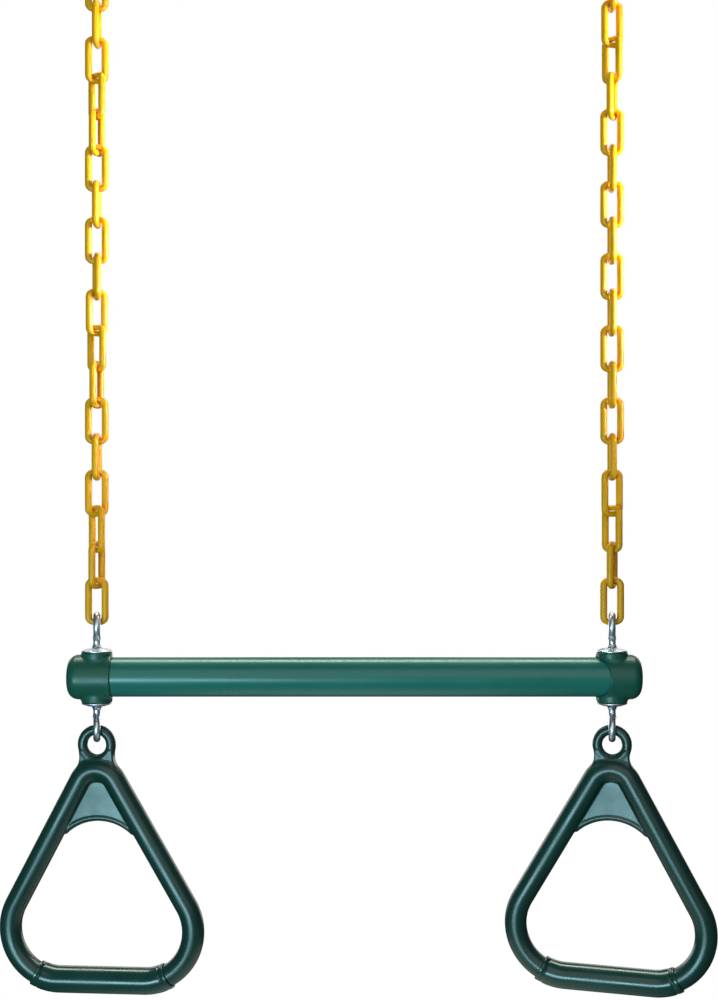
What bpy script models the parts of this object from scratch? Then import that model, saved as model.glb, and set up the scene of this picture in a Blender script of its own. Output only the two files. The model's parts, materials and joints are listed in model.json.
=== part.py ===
"""Hanging trapeze bar with two triangular gym rings, on two plastic-coated chains.

The origin is the hang point, midway between the inside tops of the two snap hooks.
+X runs along the bar to its right-hand end, +Y to the back, +Z up.
"""

import math

import bpy
from mathutils import Matrix, Vector

MM = 0.001

# Clearances
TOUCH_GAP = 0.30 * MM       # between pieces that rest on or screw into each other
LINK_GAP = 0.45 * MM        # between two links at the point where one hangs on the other

# Chain
LINK_PITCH = 32.0 * MM
LINKS_PER_CHAIN = 18
LINK_HALF_WIDTH = 7.45 * MM     # centreline of the wire
LINK_CORNER = 5.0 * MM          # centreline radius of the four corners
LEG_WIRE = 3.20 * MM            # wire radius with its coating, on the straight sides
CROWN_WIRE = 2.50 * MM          # the coating is squeezed thinner where links bear
LINK_LENGTH = LINK_PITCH + 2 * CROWN_WIRE + LINK_GAP    # between the crowns' centrelines

# How far each link is turned about the chain, in degrees from the plane of the bar,
# from the hook down. The chains hang with a few twists, and each has its own.
LINK_TURNS = {
    "left": (0, 270, 202.5, 135, 67.5, 0, 90, 0, 286, 216, 144, 72, 0, 268, 200, 132, 64, -4),
    "right": (270, 201, 134, 67, 0, 90, 0, 90, 0, 90, 0, 90, 0, 270, 202.5, 135, 67.5, 0),
}

# Snap hooks, 60 mm long
HOOK_WIRE = 3.0 * MM
HOOK_LENGTH = 60.0 * MM
HOOK_TOP_RADIUS = 12.5 * MM     # centreline
HOOK_BOTTOM_RADIUS = 8.5 * MM
HOOK_TURN = {"left": 90, "right": 0}
TONGUE_THICK = 3.0 * MM         # the flattened ends of the hook's wire
TONGUE_HALF = 2.7 * MM
NOSE_INNER = 1.3 * MM           # the nose is cut back inside, for the gate's stop
GATE_WIDTH = 6.8 * MM
GATE_DEPTH = 5.6 * MM
GATE_SLOT = TONGUE_THICK + 2 * TOUCH_GAP
GATE_PIVOT_UP = 5.2 * MM        # from the lower tangent point, along the gate
GATE_TOP_DOWN = 1.6 * MM        # from the upper tangent point to the tip of the gate
WIRE_END = 0.9 * MM             # how far the hook's wire runs past each tangent point
GATE_PIN_RADIUS = 1.1 * MM
SPRING_BORE = 1.75 * MM
SPRING_WIRE = 0.28 * MM
SPRING_TURNS = 5
SPRING_LENGTH = 7.5 * MM

# Bar
BAR_LENGTH = 508.0 * MM
TUBE_RADIUS = 17.45 * MM
TUBE_WALL = 1.8 * MM
EYE_SPACING = 457.2 * MM
CAP_RADIUS = 19.75 * MM
CAP_LENGTH = 39.0 * MM
CAP_END_WALL = 6.0 * MM
CAP_EDGE = 9.0 * MM             # rounding of the closed end
BOSS_RADIUS = 13.7 * MM
BOSS_HEIGHT = 22.0 * MM         # flat face, from the bar's axis
NOTCH_RADIUS = 27.0 * MM        # curved cut-back of one side of the cap's skirt
NOTCH_FROM_EYE = -3.5 * MM      # its deepest point, from the eye rod towards the bar's end

# Eye rods, which run through the bar with an eye at each end, and their washers
EYE_WIRE = 3.15 * MM
EYE_LOOP = 9.35 * MM            # centreline radius
EYE_CENTRE = 45.3 * MM          # from the bar's axis
ROD_RADIUS = 3.20 * MM
SWAGE_RADIUS = 4.60 * MM        # the rod is swaged out beyond each washer, to hold it on
SWAGE_HEIGHT = 2.20 * MM
EYE_TURN = {"left": 9, "right": -9}     # how the rods stand turned about their axes, in degrees
WASHER_RADIUS = 13.5 * MM
WASHER_THICK = 1.6 * MM
WASHER_DOME = 2.3 * MM

# Triangular rings, measured down from the middle of the lug's hole
RING_TUBE = 9.8 * MM
RING_HALF_ANGLE = math.radians(29.5)
APEX_DROP = 22.0 * MM
APEX_RADIUS = 18.0 * MM
CORNER_RADIUS = 45.0 * MM
CORNER_OUT = 39.0 * MM
LUG_RADIUS = 13.05 * MM         # centreline of the lug's hoop
LUG_WIRE = 4.4 * MM
NECK_WIDTH = 31.0 * MM
NECK_THICK = 9.0 * MM
WEB_THICK = 5.0 * MM
WEB_ARCH_RADIUS = 45.0 * MM
WEB_ARCH_TOP = 66.0 * MM
WEB_ARCH_REACH = math.radians(44)
GRIP_RADIUS = 11.8 * MM
GRIP_BEND = math.radians(30)    # how far the grip runs round each lower corner
RING_YAW = {"left": -9.0, "right": -15.0}      # how the rings hang turned, in degrees
RING_LEAN = {"left": -1.4, "right": 0.8}

SIDES = {"left": -1, "right": 1}

# Heights, from the hang point down to the bar
HOOK_BASE_Z = -(HOOK_LENGTH - 2 * HOOK_WIRE)            # inside bottom of the hook
FIRST_CONTACT_Z = HOOK_BASE_Z + LINK_GAP / 2
LAST_CONTACT_Z = FIRST_CONTACT_Z - LINKS_PER_CHAIN * LINK_PITCH
BAR_Z = LAST_CONTACT_Z + LINK_GAP / 2 - (EYE_LOOP - EYE_WIRE) - EYE_CENTRE
LUG_HANG_Z = BAR_Z - EYE_CENTRE - (EYE_LOOP - EYE_WIRE) + TOUCH_GAP + LUG_WIRE


def clear_scene():
    for obj in list(bpy.data.objects):
        bpy.data.objects.remove(obj, do_unlink=True)


def make_collection(name):
    collection = bpy.data.collections.new(name)
    bpy.context.scene.collection.children.link(collection)
    return collection


def make_material(name, colour, roughness, metallic=0.0):
    material = bpy.data.materials.new(name)
    material.use_nodes = True
    shader = material.node_tree.nodes["Principled BSDF"]
    shader.inputs["Base Color"].default_value = (*colour, 1.0)
    shader.inputs["Roughness"].default_value = roughness
    shader.inputs["Metallic"].default_value = metallic
    return material


clear_scene()
PARTS = make_collection("trapeze_bar")
WORKSHOP = make_collection("cutters")

CHAIN_COAT = make_material("chain_coat", (0.95, 0.55, 0.01), 0.35)
TUBE_PAINT = make_material("tube_paint", (0.01, 0.13, 0.09), 0.3)
CAP_PLASTIC = make_material("cap_plastic", (0.008, 0.10, 0.065), 0.35)
RING_PLASTIC = make_material("ring_plastic", (0.006, 0.055, 0.045), 0.4)
GRIP_PLASTIC = make_material("grip_plastic", (0.006, 0.06, 0.05), 0.3)
ZINC = make_material("zinc", (0.62, 0.66, 0.70), 0.3, 1.0)


# Building blocks

def place(name, mesh, material):
    """A named object for a sub-part, with its own user of the mesh."""
    obj = bpy.data.objects.new(name, mesh)
    if not mesh.materials:
        mesh.materials.append(material)
    PARTS.objects.link(obj)
    return obj


def draft(mesh, matrix=None):
    """A working object, kept out of the finished model."""
    obj = bpy.data.objects.new("draft", mesh)
    if matrix is not None:
        obj.matrix_world = matrix
    WORKSHOP.objects.link(obj)
    obj.hide_render = True
    obj.display_type = "WIRE"
    return obj


def baked(obj):
    """The object's finished mesh, in place, with its caps welded. The object is removed."""
    bpy.context.view_layer.update()
    graph = bpy.context.evaluated_depsgraph_get()
    mesh = bpy.data.meshes.new_from_object(obj.evaluated_get(graph))
    mesh.transform(obj.matrix_world)
    weld(mesh)
    bpy.data.objects.remove(obj, do_unlink=True)
    return mesh


def weld(mesh):
    import bmesh
    work = bmesh.new()
    work.from_mesh(mesh)
    bmesh.ops.remove_doubles(work, verts=work.verts, dist=1e-6)
    bmesh.ops.recalc_face_normals(work, faces=work.faces)
    work.to_mesh(mesh)
    work.free()


def smooth(mesh):
    mesh.shade_smooth()
    mesh.set_sharp_from_angle(angle=math.radians(35))
    return mesh


def combined(mesh, others, operation):
    """The mesh with each of the others joined to it or cut from it."""
    body = draft(mesh)
    helpers = [draft(other) for other in others]
    for helper in helpers:
        modifier = body.modifiers.new("shape", "BOOLEAN")
        modifier.operation = operation
        modifier.solver = "EXACT"
        modifier.object = helper
    result = baked(body)
    for helper in helpers:
        bpy.data.objects.remove(helper, do_unlink=True)
    return result


def cylinder(radius, low, high, segments=16, axis="Z", centre=(0, 0, 0)):
    """A cylinder along an axis, from low to high, about a centre."""
    bpy.ops.mesh.primitive_cylinder_add(vertices=segments, radius=radius, depth=high - low)
    obj = bpy.context.object
    turn = {"X": Matrix.Rotation(math.pi / 2, 4, "Y"), "Y": Matrix.Rotation(-math.pi / 2, 4, "X"),
            "Z": Matrix.Identity(4)}[axis]
    lift = Matrix.Translation((0, 0, (low + high) / 2))
    obj.matrix_world = Matrix.Translation(centre) @ turn @ lift
    return baked(obj)


def block(low, high):
    """A box between two corners."""
    bpy.ops.mesh.primitive_cube_add(size=1.0)
    obj = bpy.context.object
    size = Vector(high) - Vector(low)
    obj.matrix_world = Matrix.Translation((Vector(low) + Vector(high)) / 2) @ Matrix.Diagonal((*size, 1))
    return baked(obj)


def turned(profile, steps, closed=False):
    """A profile of (radius, z) turned about Z. It runs down the outer side, top to bottom."""
    edges = [(i, i + 1) for i in range(len(profile) - 1)]
    if closed:
        edges.append((len(profile) - 1, 0))
    mesh = bpy.data.meshes.new("profile")
    mesh.from_pydata([(radius, 0, z) for radius, z in profile], edges, [])
    obj = draft(mesh)
    screw = obj.modifiers.new("turn", "SCREW")
    screw.steps = steps
    screw.render_steps = steps
    screw.use_merge_vertices = True
    screw.merge_threshold = 1e-6
    return baked(obj)


def tube_curve(points, radius, scales=None, sides_level=2, cyclic=False, caps=True):
    """A round bar along straight runs between points, which may change its thickness."""
    curve = bpy.data.curves.new("wire", "CURVE")
    curve.dimensions = "3D"
    curve.bevel_depth = radius
    curve.bevel_resolution = sides_level
    curve.use_fill_caps = caps
    spline = curve.splines.new("POLY")
    spline.points.add(len(points) - 1)
    for point, co, scale in zip(spline.points, points, scales or [1.0] * len(points)):
        point.co = (*co, 1.0)
        point.radius = scale
    spline.use_cyclic_u = cyclic
    return draft(curve)


def plate(outline, thickness):
    """A flat plate in the XZ plane, centred on Y, from an outline of (x, z)."""
    curve = bpy.data.curves.new("outline", "CURVE")
    curve.dimensions = "2D"
    curve.fill_mode = "BOTH"
    curve.extrude = thickness / 2
    spline = curve.splines.new("POLY")
    spline.points.add(len(outline) - 1)
    for point, (x, z) in zip(spline.points, outline):
        point.co = (x, z, 0.0, 1.0)
    spline.use_cyclic_u = True
    obj = draft(curve, Matrix.Rotation(math.pi / 2, 4, "X"))
    return baked(obj)


def arc(centre, radius, start, end, steps):
    """Points (x, z) round an arc, both ends included, with angles in radians."""
    angles = [start + (end - start) * i / steps for i in range(steps + 1)]
    return [(centre[0] + radius * math.cos(a), centre[1] + radius * math.sin(a)) for a in angles]


def standing(points):
    """Points (x, z) as points in the XZ plane."""
    return [(x, 0.0, z) for x, z in points]


def pivot(name, location, parent=None):
    """An empty on a joint's axis, which the moving pieces are parented to."""
    empty = bpy.data.objects.new(name, None)
    empty.empty_display_size = 0.01
    PARTS.objects.link(empty)
    hang(empty, parent, location)
    return empty


def hang(obj, parent, location, turn=0.0, lean=0.0):
    """Put an object at a place in the world, under its parent, turned in degrees."""
    origin = parent["world"] if parent else (0, 0, 0)
    obj.parent = parent
    obj.location = Vector(location) - Vector(origin)
    obj.rotation_euler = (0, math.radians(lean), math.radians(turn))
    obj["world"] = tuple(location)
    return obj


# Chain

def link_mesh():
    """A link in the XZ plane about its own middle: four round corners and straight sides."""
    corner_steps = 2
    points, scales = [], []
    for across, up in ((1, 1), (-1, 1), (-1, -1), (1, -1)):
        centre = (across * (LINK_HALF_WIDTH - LINK_CORNER), up * (LINK_LENGTH / 2 - LINK_CORNER))
        start = {(1, 1): 0.0, (-1, 1): 0.5, (-1, -1): 1.0, (1, -1): 1.5}[across, up] * math.pi
        for x, z in arc(centre, LINK_CORNER, start, start + math.pi / 2, corner_steps):
            crown_share = ((abs(z) - abs(centre[1])) / LINK_CORNER) ** 2
            points.append((x, 0.0, z))
            scales.append((LEG_WIRE + (CROWN_WIRE - LEG_WIRE) * crown_share) / LEG_WIRE)
    return smooth(baked(tube_curve(points, LEG_WIRE, scales, cyclic=True)))


def along_x(turn):
    """How nearly a crown's wire lies along X, from 0 to 1, in a link turned this far."""
    return math.cos(math.radians(turn)) ** 2


def hinge_height(level):
    """The height of the joint above link number level, counted from 0 at the hook.

    Links roll on whichever wire lies along X, so the joint is moved from the point of
    contact towards that wire. Both chains share it, so that the bar stays level.
    """
    contact = FIRST_CONTACT_Z - level * LINK_PITCH
    shift = 0.0
    for side in SIDES:
        above = LINK_TURNS[side][level - 1] if level else HOOK_TURN[side]
        below = LINK_TURNS[side][level] if level < LINKS_PER_CHAIN else 90
        shift += (along_x(below) - along_x(above)) / len(SIDES)
    return contact + CROWN_WIRE * shift


def build_chains():
    """Both chains, each link under its own joint. It returns each side's lowest joint."""
    mesh = link_mesh()
    last = {}
    for side, sign in SIDES.items():
        x = sign * EYE_SPACING / 2
        joint = None
        for level, turn in enumerate(LINK_TURNS[side]):
            number = f"{side}_{level + 1:02d}"
            joint = pivot(f"joint_link_{number}", (x, 0, hinge_height(level)), joint)
            middle = FIRST_CONTACT_Z - (level + 0.5) * LINK_PITCH
            hang(place(f"link_{number}", mesh, CHAIN_COAT), joint, (x, 0, middle), turn)
        last[side] = joint
    return last


# Snap hooks

def hook_layout():
    """Centres of the hook's two bends and the gate side's outward normal, in (x, z)."""
    top = (0.0, HOOK_WIRE - HOOK_TOP_RADIUS)
    bottom = (0.0, HOOK_BASE_Z - HOOK_WIRE + HOOK_BOTTOM_RADIUS)
    rise = (HOOK_BOTTOM_RADIUS - HOOK_TOP_RADIUS) / (top[1] - bottom[1])
    return top, bottom, math.asin(rise)


def gate_frame():
    """Lower tangent point of the gate side, the way up the gate, and the way inwards."""
    _, bottom, tilt = hook_layout()
    outward = Vector((-math.cos(tilt), math.sin(tilt)))
    upward = Vector((math.sin(tilt), math.cos(tilt)))
    start = Vector(bottom) + HOOK_BOTTOM_RADIUS * outward
    return start, upward, -outward


def gate_point(up, inward):
    """A point (x, z) measured up the gate's centreline and inwards from it."""
    start, upward, inside = gate_frame()
    point = start + up * upward + inward * inside
    return (point.x, point.y)


def gate_length():
    """From the lower to the upper tangent point."""
    top, bottom, tilt = hook_layout()
    return (top[1] - bottom[1]) * math.cos(tilt)


def tongue(round_centre, square_end, outer, inner):
    """A flattened end of the hook's wire: a plate along the gate's line, round at one end."""
    half = (inner - outer) / 2
    middle = (inner + outer) / 2
    sweep = math.pi if square_end < round_centre else -math.pi
    outline = [gate_point(square_end, outer)]
    for step in range(7):
        angle = sweep * step / 6
        outline.append(gate_point(round_centre + half * math.sin(angle), middle - half * math.cos(angle)))
    outline.append(gate_point(square_end, inner))
    return plate(outline, TONGUE_THICK)


def hook_body_mesh():
    top, bottom, tilt = hook_layout()
    bend = arc(bottom, HOOK_BOTTOM_RADIUS, math.pi - tilt, 2 * math.pi + tilt, 8)
    crown = arc(top, HOOK_TOP_RADIUS, tilt, math.pi - tilt, 10)
    ends = [gate_point(WIRE_END, 0)], [gate_point(gate_length() - WIRE_END, 0)]
    wire = baked(tube_curve(standing(ends[0] + bend + crown + ends[1]), HOOK_WIRE))
    hinge_end = tongue(GATE_PIVOT_UP, -2.0 * MM, -TONGUE_HALF, TONGUE_HALF)
    nose = tongue(gate_length() - 4.2 * MM, gate_length() + 2.0 * MM, -TONGUE_HALF, NOSE_INNER)
    body = combined(wire, [hinge_end, nose], "UNION")
    pin_x, pin_z = gate_point(GATE_PIVOT_UP, 0)
    hole = cylinder(GATE_PIN_RADIUS + TOUCH_GAP, -5 * MM, 5 * MM, 12, "Y", (pin_x, 0, pin_z))
    return smooth(combined(body, [hole], "DIFFERENCE"))


def gate_slot(low, high, outer, inner):
    """A cutter along the gate, as wide as the tongue that sits in it."""
    corners = [(low, outer), (low, inner), (high, inner), (high, outer)]
    return plate([gate_point(up, inward) for up, inward in corners], GATE_SLOT)


def gate_mesh():
    """The gate, forked over the hook's tongue at its pin and over the nose at its tip."""
    half = GATE_DEPTH / 2
    low, high = GATE_PIVOT_UP, gate_length() - GATE_TOP_DOWN
    outline = [gate_point(high, -half), gate_point(high, half)]
    for step in range(7):
        angle = math.pi * step / 6
        outline.append(gate_point(low - half * math.sin(angle), half * math.cos(angle)))
    body = plate(outline, GATE_WIDTH)
    reach = GATE_DEPTH
    hinge_slot = gate_slot(low - reach, low + TONGUE_HALF + 3 * TOUCH_GAP, -reach, reach)
    nose_slot = gate_slot(high - 6.2 * MM, high + reach, -reach, NOSE_INNER + TOUCH_GAP)
    pin_x, pin_z = gate_point(low, 0)
    hole = cylinder(GATE_PIN_RADIUS + TOUCH_GAP, -8 * MM, 8 * MM, 12, "Y", (pin_x, 0, pin_z))
    body = combined(body, [hinge_slot, nose_slot, hole], "DIFFERENCE")
    return smooth(combined(body, [spring_bore()], "DIFFERENCE"))


def spring_bore():
    """A blind bore up the middle of the gate, open into the slot at its pin."""
    x, z = gate_point(0, 0)
    _, _, tilt = hook_layout()
    bore = cylinder(SPRING_BORE, GATE_PIVOT_UP + 2 * MM, spring_low() + SPRING_LENGTH + 0.4 * MM, 12)
    bore.transform(Matrix.Translation((x, 0, z)) @ Matrix.Rotation(tilt, 4, "Y"))
    return bore


def spring_low():
    return GATE_PIVOT_UP + TONGUE_HALF + 3 * TOUCH_GAP


def spring_mesh():
    """The coil that keeps the gate shut, inside the gate's bore."""
    coil_radius = SPRING_BORE - SPRING_WIRE - TOUCH_GAP
    steps = SPRING_TURNS * 6
    rise = SPRING_LENGTH - 2 * SPRING_WIRE
    points = []
    for step in range(steps + 1):
        angle = 2 * math.pi * SPRING_TURNS * step / steps
        up = spring_low() + SPRING_WIRE + rise * step / steps
        x, z = gate_point(up, coil_radius * math.cos(angle))
        points.append((x, coil_radius * math.sin(angle), z))
    return smooth(baked(tube_curve(points, SPRING_WIRE, sides_level=0)))


def build_hooks():
    pin_x, pin_z = gate_point(GATE_PIVOT_UP, 0)
    half_pin = GATE_WIDTH / 2 + 0.5 * MM
    pin_mesh = smooth(cylinder(GATE_PIN_RADIUS, -half_pin, half_pin, 12, "Y", (pin_x, 0, pin_z)))
    body_mesh, swing_mesh, coil_mesh = hook_body_mesh(), gate_mesh(), spring_mesh()
    for moving in (swing_mesh, coil_mesh):
        moving.transform(Matrix.Translation((-pin_x, 0, -pin_z)))
    for side, sign in SIDES.items():
        hook_at = Vector((sign * EYE_SPACING / 2, 0, 0))
        turn = HOOK_TURN[side]
        pin_at = hook_at + Matrix.Rotation(math.radians(turn), 4, "Z") @ Vector((pin_x, 0, pin_z))
        hang(place(f"hook_{side}", body_mesh, ZINC), None, hook_at, turn)
        hang(place(f"gate_pin_{side}", pin_mesh, ZINC), None, hook_at, turn)
        joint = pivot(f"joint_gate_{side}", pin_at)
        hang(place(f"gate_{side}", swing_mesh, ZINC), joint, pin_at, turn)
        hang(place(f"gate_spring_{side}", coil_mesh, ZINC), joint, pin_at, turn)


# Bar

def bar_tube_mesh():
    half = BAR_LENGTH / 2 - CAP_END_WALL - TOUCH_GAP
    inner = TUBE_RADIUS - TUBE_WALL
    wall = [(TUBE_RADIUS, half), (TUBE_RADIUS, -half), (inner, -half), (inner, half)]
    tube = turned(wall, 28, closed=True)
    tube.transform(Matrix.Rotation(math.pi / 2, 4, "Y"))
    holes = [cylinder(ROD_RADIUS + TOUCH_GAP, -30 * MM, 30 * MM, 12, "Z",
                      (sign * EYE_SPACING / 2, 0, 0)) for sign in SIDES.values()]
    return smooth(combined(tube, holes, "DIFFERENCE"))


def cap_mesh():
    """The right-hand cap, about its eye rod: skirt, bosses, holes and the cut-back front."""
    end = (BAR_LENGTH - EYE_SPACING) / 2
    skirt = end - CAP_LENGTH
    dome = arc((CAP_RADIUS - CAP_EDGE, end - CAP_EDGE), CAP_EDGE, math.pi / 2, 0, 5)
    bore_end = end - CAP_END_WALL
    profile = [(0, end), *dome, (CAP_RADIUS, skirt), (0, skirt)]
    shell = turned(profile, 28)
    shell.transform(Matrix.Rotation(math.pi / 2, 4, "Y"))
    bosses = cylinder(BOSS_RADIUS, -BOSS_HEIGHT, BOSS_HEIGHT, 24)
    bore = cylinder(TUBE_RADIUS + TOUCH_GAP, skirt - 5 * MM, bore_end, 28, "X")
    rod_hole = cylinder(ROD_RADIUS + TOUCH_GAP, -30 * MM, 30 * MM, 12)
    body = combined(shell, [bosses], "UNION")
    body = combined(body, [bore, rod_hole], "DIFFERENCE")
    notch = cylinder(NOTCH_RADIUS, -30 * MM, 0, 40, "Y", (NOTCH_FROM_EYE - NOTCH_RADIUS, 0, 0))
    keep = cylinder(BOSS_RADIUS + 0.01 * MM, -40 * MM, 40 * MM, 24)
    notch = combined(notch, [keep], "DIFFERENCE")
    return smooth(combined(body, [front_piece(notch)], "DIFFERENCE"))


def front_piece(notch):
    """The part of the notch's cutter inboard of the bosses, as one body."""
    inboard = block((-80 * MM, -40 * MM, -40 * MM), (NOTCH_FROM_EYE + MM, 1 * MM, 40 * MM))
    return combined(notch, [inboard], "INTERSECT")


def washer_mesh():
    """A domed washer, its rim on z = 0 and its crown up."""
    hole = ROD_RADIUS + TOUCH_GAP
    top = WASHER_DOME + WASHER_THICK
    middle = (WASHER_RADIUS + hole) / 2
    profile = [
        (hole, top), (middle, top - 0.35 * WASHER_DOME), (WASHER_RADIUS, 0.8 * WASHER_THICK),
        (WASHER_RADIUS, 0), (WASHER_RADIUS - WASHER_THICK, 0),
        (middle, 0.65 * WASHER_DOME), (hole, WASHER_DOME),
    ]
    return smooth(turned(profile, 20, closed=True))


def eye_loop(up):
    """The loop at one end of an eye rod, which stands across the bar."""
    loop = arc((0, up * EYE_CENTRE), EYE_LOOP, 0, 2 * math.pi, 16)[:-1]
    return baked(tube_curve([(0.0, y, z) for y, z in loop], EYE_WIRE, cyclic=True))


def eye_rod_mesh():
    """A rod through the bar, swaged above and below the washers, with an eye at each end."""
    end = EYE_CENTRE - EYE_LOOP + 0.4 * EYE_WIRE
    swage = BOSS_HEIGHT + WASHER_DOME + WASHER_THICK + 2 * TOUCH_GAP
    upper = [(ROD_RADIUS, end), (ROD_RADIUS, swage + SWAGE_HEIGHT), (SWAGE_RADIUS, swage + 0.3 * MM),
             (SWAGE_RADIUS, swage), (ROD_RADIUS, swage)]
    lower = [(radius, -z) for radius, z in reversed(upper)]
    rod = turned([(0, end), *upper, *lower, (0, -end)], 12)
    return smooth(combined(rod, [eye_loop(1), eye_loop(-1)], "UNION"))


def build_bar(last_joint):
    """Tube, caps, washers and eye rods, all on the joint at the foot of the left chain."""
    x = -EYE_SPACING / 2
    joint = pivot("joint_bar", (x, 0, hinge_height(LINKS_PER_CHAIN)), last_joint)
    hang(place("bar_tube", bar_tube_mesh(), TUBE_PAINT), joint, (0, 0, BAR_Z))
    cap, rod, washer = cap_mesh(), eye_rod_mesh(), washer_mesh()
    for side, sign in SIDES.items():
        x = sign * EYE_SPACING / 2
        turn = 0 if side == "right" else 180
        hang(place(f"end_cap_{side}", cap, CAP_PLASTIC), joint, (x, 0, BAR_Z), turn)
        hang(place(f"eye_rod_{side}", rod, ZINC), joint, (x, 0, BAR_Z), EYE_TURN[side])
        for level, up in (("upper", 1), ("lower", -1)):
            seat = BAR_Z + up * (BOSS_HEIGHT + TOUCH_GAP)
            disc = hang(place(f"washer_{level}_{side}", washer, ZINC), joint, (x, 0, seat))
            disc.rotation_euler = (0 if up > 0 else math.pi, 0, 0)
    return joint


# Rings

def ring_centreline():
    """Half of the ring's centreline as (x, z), from the apex round to the bottom's middle."""
    apex = (0.0, -APEX_DROP - APEX_RADIUS)
    angle = RING_HALF_ANGLE
    fall = (math.cos(angle) * CORNER_OUT + CORNER_RADIUS - APEX_RADIUS) / math.sin(angle)
    corner = (CORNER_OUT, apex[1] - fall)
    crown = arc(apex, APEX_RADIUS, math.pi / 2, angle, 4)
    grip_start = -math.pi / 2 + GRIP_BEND
    bend = arc(corner, CORNER_RADIUS, angle, grip_start, 6)
    held = arc(corner, CORNER_RADIUS, grip_start, -math.pi / 2, 2)
    return crown, bend, held


def ring_path():
    """The whole centreline, closed, clockwise from the apex."""
    crown, bend, held = ring_centreline()
    half = crown + bend + held[1:]
    return half + [(-x, z) for x, z in reversed(half[1:])]


def grip_path():
    """The grip's centreline. Its ends stop just short of the bends in the ring's."""
    _, _, held = ring_centreline()
    first, second = Vector(held[0]), Vector(held[1])
    half = [tuple(first.lerp(second, 0.06))] + held[1:]
    return half + [(-x, z) for x, z in reversed(half)]


def lug_and_neck():
    """The hoop at the top of the ring and the thick neck that joins it to the frame."""
    hoop = arc((0, 0), LUG_RADIUS, 0, 2 * math.pi, 20)[:-1]
    hoop_mesh = baked(tube_curve(standing(hoop), LUG_WIRE, cyclic=True))
    half = NECK_WIDTH / 2
    shoulder = -APEX_DROP - 0.6 * RING_TUBE
    hollow = LUG_RADIUS - 0.2 * LUG_WIRE
    under_hole = arc((0, 0), hollow, -0.15 * math.pi, -0.85 * math.pi, 8)
    rim = half - 0.5 * MM
    outline = [(rim, -5 * MM), (half, -12 * MM), (half + 3 * MM, shoulder), (-half - 3 * MM, shoulder),
               (-half, -12 * MM), (-rim, -5 * MM), *reversed(under_hole)]
    return hoop_mesh, plate(outline, NECK_THICK)


def leg_x(z):
    """How far out the centreline of the ring's right leg is at a height."""
    crown, _, _ = ring_centreline()
    leg_top = crown[-1]
    return leg_top[0] + (leg_top[1] - z) * math.tan(RING_HALF_ANGLE)


def web_plate():
    """The thin web under the apex, with an arched lower edge. It ends inside the legs."""
    arch_centre = (0, -WEB_ARCH_TOP - WEB_ARCH_RADIUS)
    left, right = math.pi / 2 + WEB_ARCH_REACH, math.pi / 2 - WEB_ARCH_REACH
    arch = arc(arch_centre, WEB_ARCH_RADIUS, right, left, 10)
    foot_z = arch[0][1]
    top_z = -APEX_DROP - APEX_RADIUS / 2
    foot_x, top_x = leg_x(foot_z), leg_x(top_z)
    head_z = -APEX_DROP - 2 * MM
    outline = [(top_x, top_z), (foot_x, foot_z), *arch, (-foot_x, foot_z), (-top_x, top_z),
               (-top_x / 2, head_z), (top_x / 2, head_z)]
    return plate(outline, WEB_THICK)


def ring_frame_mesh():
    tube = baked(tube_curve(standing(ring_path()), RING_TUBE, sides_level=3, cyclic=True))
    hoop, neck = lug_and_neck()
    frame = combined(tube, [neck], "UNION")
    frame = combined(frame, [hoop], "UNION")
    return smooth(combined(frame, [web_plate()], "UNION"))


def ring_grip_mesh():
    """The sleeve over the bottom bar: a tube's wall thickened outwards."""
    path = tube_curve(standing(grip_path()), RING_TUBE + 1.3 * TOUCH_GAP, sides_level=3, caps=False)
    wall = draft(baked(path))
    solidify = wall.modifiers.new("wall", "SOLIDIFY")
    solidify.thickness = GRIP_RADIUS - RING_TUBE - 1.3 * TOUCH_GAP
    solidify.offset = 1.0
    solidify.use_even_offset = True
    return smooth(baked(wall))


def build_rings(bar_joint):
    frame, grip = ring_frame_mesh(), ring_grip_mesh()
    for side, sign in SIDES.items():
        x = sign * EYE_SPACING / 2
        joint = pivot(f"joint_ring_{side}", (x, 0, LUG_HANG_Z), bar_joint)
        hole = (x, 0, LUG_HANG_Z - LUG_RADIUS)
        for name, mesh, material in (("ring_frame", frame, RING_PLASTIC),
                                     ("ring_grip", grip, GRIP_PLASTIC)):
            piece = place(f"{name}_{side}", mesh, material)
            hang(piece, joint, hole, RING_YAW[side], RING_LEAN[side])


build_hooks()
lowest_joints = build_chains()
bar_pivot = build_bar(lowest_joints["left"])
build_rings(bar_pivot)
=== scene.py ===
"""Hanging trapeze bar with two triangular rings on coated chains, as it looks.

Shapes are worked out in millimetres, each about its own middle, and are turned into
metres as they become meshes. Every piece then rides on the body of the node it stands for.
"""

import itertools
import json
import math

import bpy
import numpy as np
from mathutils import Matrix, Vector


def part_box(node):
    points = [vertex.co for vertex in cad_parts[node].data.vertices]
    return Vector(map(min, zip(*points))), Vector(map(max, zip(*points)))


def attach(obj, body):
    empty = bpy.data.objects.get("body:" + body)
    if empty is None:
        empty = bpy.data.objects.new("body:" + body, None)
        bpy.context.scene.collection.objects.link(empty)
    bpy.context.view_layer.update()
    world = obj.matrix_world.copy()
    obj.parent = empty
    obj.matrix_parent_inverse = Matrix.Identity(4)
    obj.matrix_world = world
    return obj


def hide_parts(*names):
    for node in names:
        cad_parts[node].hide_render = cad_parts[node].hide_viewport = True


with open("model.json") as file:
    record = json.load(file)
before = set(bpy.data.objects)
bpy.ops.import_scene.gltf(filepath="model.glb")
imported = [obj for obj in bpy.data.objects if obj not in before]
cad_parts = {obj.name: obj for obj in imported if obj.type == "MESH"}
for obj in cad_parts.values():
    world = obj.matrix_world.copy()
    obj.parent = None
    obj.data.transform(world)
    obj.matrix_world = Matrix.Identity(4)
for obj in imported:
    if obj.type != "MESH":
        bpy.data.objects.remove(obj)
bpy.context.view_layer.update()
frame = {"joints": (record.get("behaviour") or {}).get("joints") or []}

MM = 0.001
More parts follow.
